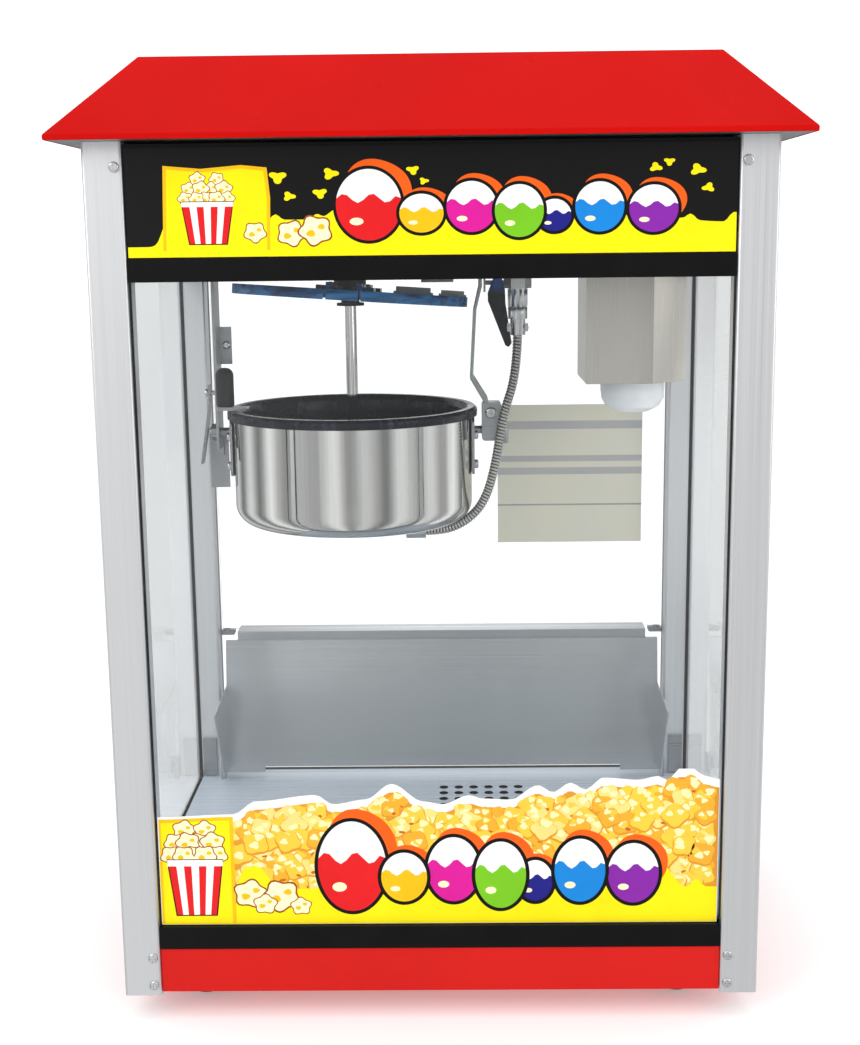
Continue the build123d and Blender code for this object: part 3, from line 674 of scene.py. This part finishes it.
def heap_of_corn(art, left, right, bottom, top_of):
    """Jittered rows of kernels below a curve; six classes of level keep neighbours apart."""
    random.seed(11)
    across, down = CORN_GAP
    columns = int((right - left - CORN_SIZE) / across)
    for row in range(12):
        for column in range(columns + 1):
            x = left + CORN_SIZE * 0.56 + column * across + (row % 2) * across / 2 + random.uniform(-1.5, 1.5)
            size = CORN_SIZE * random.uniform(0.8, 1.08)
            x = min(x, right - size * 0.62)
            z = top_of(x) - size * 0.62 - row * down + random.uniform(-1.5, 0.5)
            if z < bottom + size * 0.7:
                continue
            kernel(art, x, z, size, 0.9 + 1.3 * (row % 3) + 0.65 * (column % 2))


# Lumps along the top of the print on the front glass, across and up
PRINT_TOP = [
    (-226, 174), (-165, 176), (-146, 187), (-98, 192), (-84, 184), (-58, 188), (-37, 201), (-12, 186),
    (4, 183.5), (25, 191), (36, 188), (58, 187), (80, 199), (92, 193), (106, 201), (118, 195),
    (132, 205), (160, 203), (176, 206), (184, 202), (192, 212), (204, 212), (212, 206), (225, 203),
]


def heap(x):
    """Level of the heap's top edge, eased from one lump to the next."""
    for (x0, z0), (x1, z1) in zip(PRINT_TOP, PRINT_TOP[1:]):
        if x <= x1:
            t = max(0.0, (x - x0) / (x1 - x0))
            return z0 + (z1 - z0) * t * t * (3 - 2 * t)
    return PRINT_TOP[-1][1]


def glass_print():
    """Print on the front glass: a heap of popcorn over a yellow ground, and the plain art."""
    art = Print("glass_decal")
    low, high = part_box("glass_decal")
    left, right, bottom = low.x / MM, high.x / MM, low.z / MM

    def corn(x):
        return heap(x) - 1.2 - 2.2 * abs(math.sin(x / 4.1))

    def ground(x):
        flame = max(0.0, math.sin(x / 13.0 + 0.4)) ** 2 * 20 + max(0.0, math.sin(x / 5.3)) ** 3 * 7
        return 112.0 + flame

    def block_top(inset):
        def top(x):
            return heap(x) - inset
        return top

    art.shape(under(left, right, bottom, heap, 110), 0, "paper")
    art.shape(under(-166, right - 0.4, bottom + 0.4, lambda x: heap(x) - 7, 120), 0.6, "corn_shade")
    heap_of_corn(art, -172, right - 0.6, 100, corn)
    art.shape(under(left + 0.4, right - 0.4, bottom + 0.3, ground, 150), 5.2, "yellow")
    art.shape(under(left + 1, -165, bottom + 1, block_top(2.0), 60), 6, "amber")
    art.shape(under(left + 2.5, -168, bottom + 1, block_top(5.0), 60), 6.6, "yellow")
    tub(art, -197, 90, 44, 84, 1.0)
    for place, (x, z, size) in enumerate(((-153, 108, 24), (-128, 106, 27), (-141, 99, 17), (-112, 97, 15))):
        puff(art, x, z, size, 7.4 + 0.5 * place)
    ball_row(art, 0, 97, 1.0, 1.0, 1.0, 3.0)
    art.finish("glass_print")


def header_print():
    """Print across the header: plain art on a yellow ground over black."""
    art = Print("header_graphic")
    low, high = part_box("header_graphic")
    left, right, bottom = low.x / MM, high.x / MM, low.z / MM

    def ground(x):
        step = 1 / (1 + math.exp(-(x + 201) * 0.6))
        fall = 1 / (1 + math.exp(-(x - 190) * 0.12))
        flame = max(0.0, math.sin(x / 12.0 + 0.8)) ** 2 * 9 + max(0.0, math.sin(x / 4.9)) ** 3 * 4
        return 625 + 19 * step - 5 * fall + flame * step

    art.shape(box_outline(left, right, bottom, high.z / MM), 0, "black")
    art.shape(under(left + 0.3, right - 0.3, bottom + 0.3, ground, 200), 5.2, "yellow")
    block = [(-200, 622), (-120, 622), (-119, 660), (-121, 682), (-140, 684), (-170, 681.5), (-198, 684)]
    art.shape(block, 6, "amber")
    inner = [(-197.5, 622), (-122.5, 622), (-121.5, 660), (-123.5, 679.5), (-140, 681.5)]
    inner += [(-170, 679), (-195.5, 681.5)]
    art.shape(inner, 6.6, "yellow")
    tub(art, -166, 627, 38, 54, 0.8)
    for place, (x, z, size) in enumerate(((-131, 635, 15), (-104, 634, 19), (-86, 636, 22))):
        puff(art, x, z, size, 7.4 + 0.5 * place)
    ball_row(art, 19, 631, 0.93, 0.88, 0.68, 2.4)
    for x, z, size in ((-113, 675, 11), (-105, 661, 8), (-82, 663, 9), (-74, 677, 10), (-13, 679, 8),
                       (-5, 671, 6), (166, 679, 8), (176, 683, 7), (197, 677, 10), (205, 664, 8)):
        art.shape(oval(x, z, size, size * 0.7, 3, 0.3, x), 5.2, "yellow")
    art.finish("header_print")


glass_print()
header_print()


# ------------------------------------------------------------------ floor, light, world
FLOOR_HALF = 9.0
FLOOR_Z = -0.0006


def make_floor():
    """Pale floor, which shiny and clear pieces don't show, so that they mirror the walls."""
    look = Look("studio_floor", srgb(250, 250, 250), 0.6, Specular_IOR_Level=0.2, Emission_Strength=0.24)
    look.set("Emission Color", WHITE)
    look.set("Base Color", look.mix(look.noise(3), srgb(248, 248, 248), srgb(252, 252, 252)))
    corners = ((-1, -1), (1, -1), (1, 1), (-1, 1))
    verts = [(x * FLOOR_HALF, y * FLOOR_HALF, FLOOR_Z) for x, y in corners]
    floor = add_object("studio_floor", verts, [(0, 1, 2, 3)], [look.material])
    floor.visible_glossy = False
    floor.visible_transmission = False


def soft_light(name, place, target, size, power):
    data = bpy.data.lights.new(name, "AREA")
    data.shape = "RECTANGLE"
    data.size, data.size_y = size
    data.energy = power
    lamp = bpy.data.objects.new(name, data)
    lamp.location = place
    lamp.rotation_mode = "QUATERNION"
    lamp.rotation_quaternion = (Vector(target) - Vector(place)).to_track_quat("-Z", "Y")
    lamp.visible_camera = False
    bpy.context.scene.collection.objects.link(lamp)


STUDIO_PANELS = 22
SEEN_STRENGTH, LIGHT_STRENGTH, MIRRORED_STRENGTH = 1.25, 0.8, 1.2


def make_world():
    """A white studio; metal mirrors its walls as upright light and dark panels."""
    world = bpy.data.worlds.new("studio")
    bpy.context.scene.world = world
    world.use_nodes = True
    nodes, links = world.node_tree.nodes, world.node_tree.links
    nodes.clear()
    output = nodes.new("ShaderNodeOutputWorld")
    direction = nodes.new("ShaderNodeTexCoord").outputs["Generated"]
    parts = nodes.new("ShaderNodeSeparateXYZ")
    links.new(direction, parts.inputs[0])
    angle = nodes.new("ShaderNodeMath")
    angle.operation = "ARCTAN2"
    links.new(parts.outputs["X"], angle.inputs[0])
    links.new(parts.outputs["Y"], angle.inputs[1])
    share = nodes.new("ShaderNodeMapRange")
    links.new(angle.outputs[0], share.inputs["Value"])
    share.inputs["From Min"].default_value = -math.pi
    share.inputs["From Max"].default_value = math.pi
    walls = nodes.new("ShaderNodeValToRGB")
    walls.color_ramp.interpolation = "EASE"
    random.seed(5)
    greys = []
    for step in range(STUDIO_PANELS + 1):
        light, dark = random.uniform(0.5, 1.0), random.uniform(0.12, 0.4)
        greys.append((step / STUDIO_PANELS, light if step % 2 else dark))
    greys[-1] = (1.0, greys[0][1])
    elements = walls.color_ramp.elements
    elements[0].position, elements[1].position = greys[0][0], greys[-1][0]
    elements[0].color = elements[1].color = (greys[0][1],) * 3 + (1.0,)
    for position, grey in greys[1:-1]:
        elements.new(position).color = (grey, grey, grey, 1.0)
    links.new(share.outputs[0], walls.inputs[0])
    shown = nodes.new("ShaderNodeBackground")
    shown.inputs["Color"].default_value = WHITE
    shown.inputs["Strength"].default_value = SEEN_STRENGTH
    soft = nodes.new("ShaderNodeBackground")
    soft.inputs["Color"].default_value = WHITE
    soft.inputs["Strength"].default_value = LIGHT_STRENGTH
    mirrored = nodes.new("ShaderNodeBackground")
    links.new(walls.outputs[0], mirrored.inputs["Color"])
    mirrored.inputs["Strength"].default_value = MIRRORED_STRENGTH
    path = nodes.new("ShaderNodeLightPath")
    first = nodes.new("ShaderNodeMixShader")
    links.new(path.outputs["Is Diffuse Ray"], first.inputs[0])
    links.new(shown.outputs[0], first.inputs[1])
    links.new(soft.outputs[0], first.inputs[2])
    second = nodes.new("ShaderNodeMixShader")
    links.new(path.outputs["Glossy Depth"], second.inputs[0])
    links.new(first.outputs[0], second.inputs[1])
    links.new(mirrored.outputs[0], second.inputs[2])
    links.new(second.outputs[0], output.inputs["Surface"])


make_floor()
make_world()
soft_light("key", (-1.5, -1.7, 1.7), (0, 0, 0.4), (1.4, 1.4), 16)
soft_light("fill", (1.7, -1.5, 1.1), (0, 0, 0.4), (1.2, 1.6), 9)
soft_light("top", (0.0, -0.3, 2.4), (0, 0, 0.7), (1.6, 1.2), 9)
bpy.context.scene.view_settings.view_transform = "Standard"
